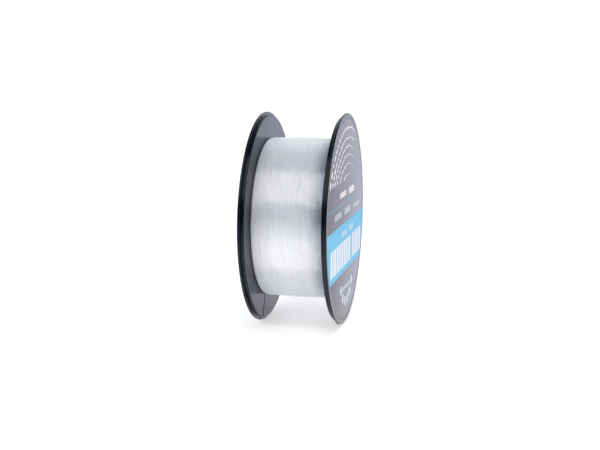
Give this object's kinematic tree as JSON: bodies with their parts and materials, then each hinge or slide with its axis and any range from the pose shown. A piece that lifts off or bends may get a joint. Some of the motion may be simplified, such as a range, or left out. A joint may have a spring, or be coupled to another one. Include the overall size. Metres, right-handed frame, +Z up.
{
  "type": "fishing line spool",
  "caption": "Fishing line spool: stepped black flanges on a snap-together hub, wound full of clear line, with a slit that holds the line's end and a round printed label in each side.",
  "frame": {"origin": "the spool's centre, on its axis, halfway between the flanges", "axes": "+X along the spool's axis towards the front label's side, +Z up as the spool stands on its rims, +Y across"},
  "size_m": [0.04, 0.1, 0.1],
  "materials": {
    "spool_plastic": "satin",
    "clear_line": "gloss",
    "tape": "matte",
    "label_print": "satin"
  },
  "bodies": {
    "root": {"left_half": "spool_plastic", "right_half": "spool_plastic", "line_winding": "clear_line", "anchor_tape": "tape", "front_label": "label_print", "back_label": "label_print"}
  },
  "joints": []
}
